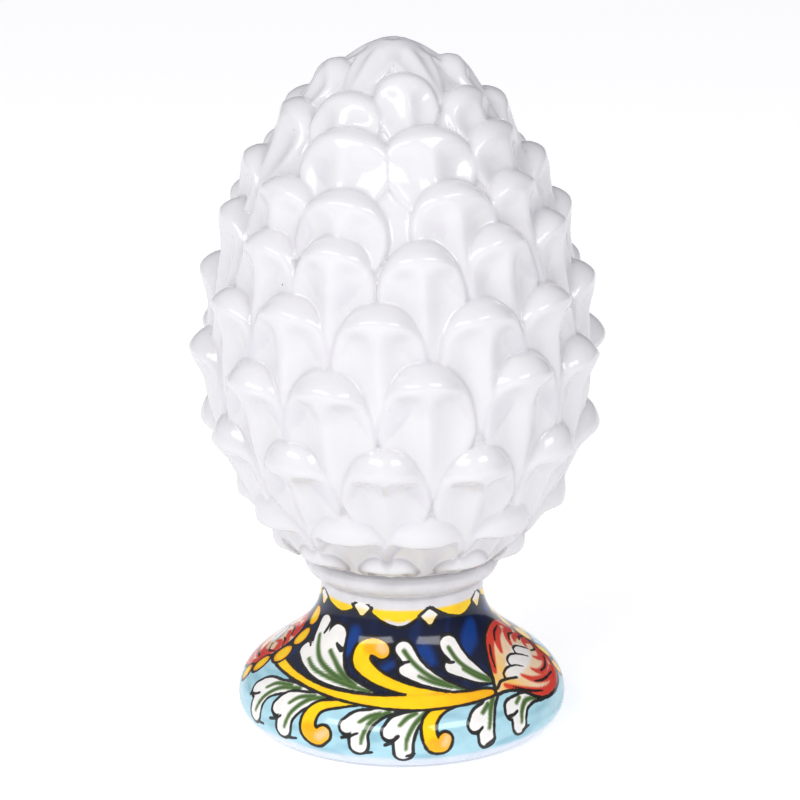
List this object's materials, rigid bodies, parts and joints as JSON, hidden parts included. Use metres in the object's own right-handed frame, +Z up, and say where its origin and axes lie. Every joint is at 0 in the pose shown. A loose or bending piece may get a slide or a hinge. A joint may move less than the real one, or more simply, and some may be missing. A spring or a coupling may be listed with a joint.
{
  "type": "pinecone finial",
  "caption": "Glazed ceramic pinecone finial with overlapping keeled scales on a painted bell-shaped foot, standing by its own weight.",
  "frame": {"origin": "middle of the underside, on the table that the foot stands on", "axes": "+Z up along the turning axis of the foot, -Y towards the best side, +X to its right"},
  "size_m": [0.1485, 0.1481, 0.2494],
  "materials": {
    "glazed_earthenware": "glossy white tin glaze, foot painted in cobalt blue, yellow, orange, green, red and pale turquoise"
  },
  "bodies": {
    "root": {"pinecone_finial": "glazed_earthenware"}
  },
  "joints": []
}
